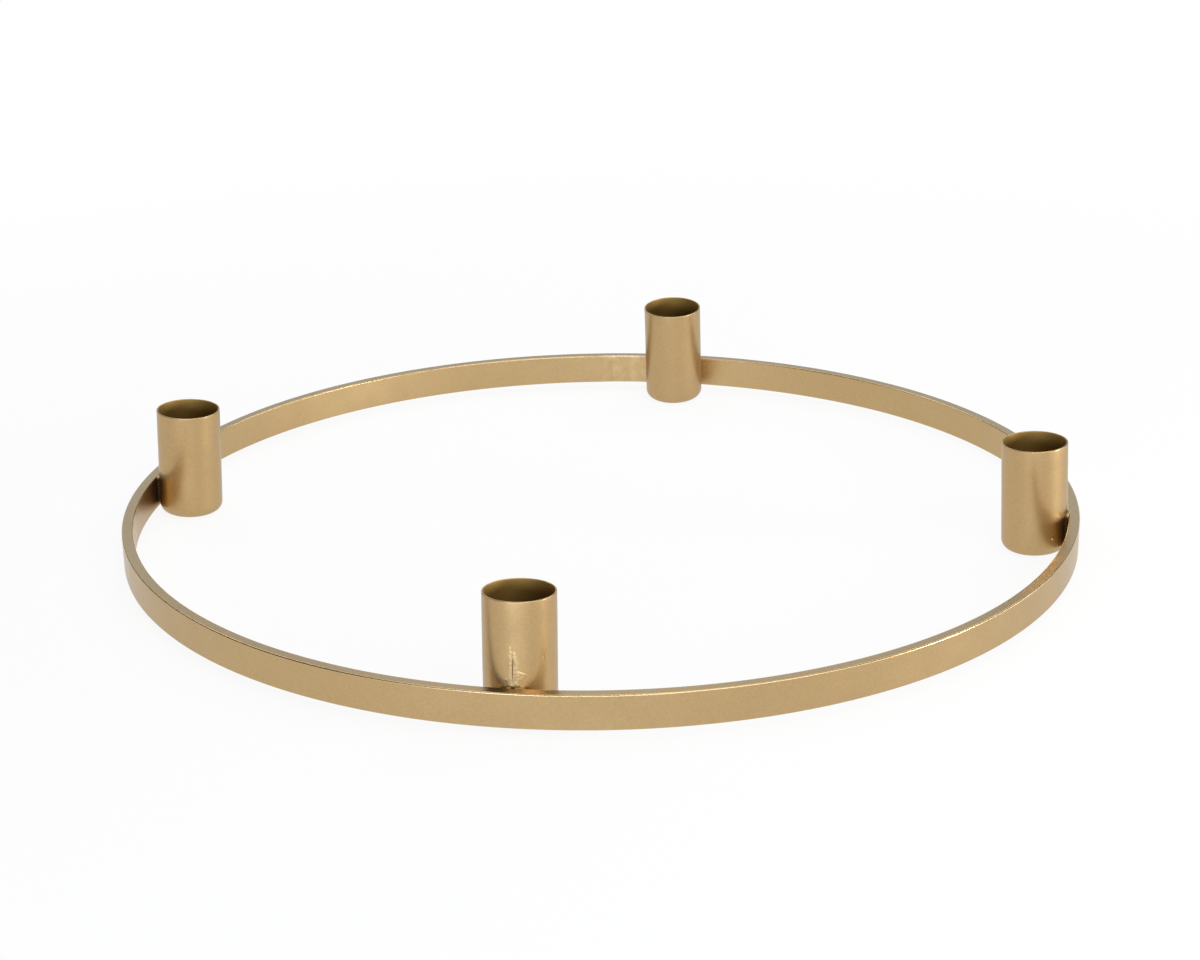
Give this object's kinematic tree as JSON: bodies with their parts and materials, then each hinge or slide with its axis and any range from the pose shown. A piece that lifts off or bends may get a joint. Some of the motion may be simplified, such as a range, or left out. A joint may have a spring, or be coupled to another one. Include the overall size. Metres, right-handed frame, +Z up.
{
  "type": "advent candle holder",
  "caption": "Round advent candle holder: a flat metal band on edge as a ring, with straight candle cups welded inside it at quarter turns, in satin pale gold.",
  "frame": {"origin": "middle of the ring, on the table top", "axes": "+Z up, +X towards the right cup and +Y towards the back cup, each within 2 degrees"},
  "size_m": [0.35, 0.35, 0.0421],
  "materials": {
    "band_lacquer": "satin champagne-gold metallic lacquer on rolled steel bar",
    "cup_lacquer": "satin champagne-gold metallic lacquer on drawn steel sheet",
    "weld_lacquer": "the same lacquer over rough weld metal"
  },
  "bodies": {
    "root": {"band": "band_lacquer", "butt_weld": "weld_lacquer", "cup_right": "cup_lacquer", "cup_back": "cup_lacquer", "cup_left": "cup_lacquer", "cup_front": "cup_lacquer", "weld_right": "weld_lacquer", "weld_back": "weld_lacquer", "weld_left": "weld_lacquer", "weld_front": "weld_lacquer"}
  },
  "joints": []
}
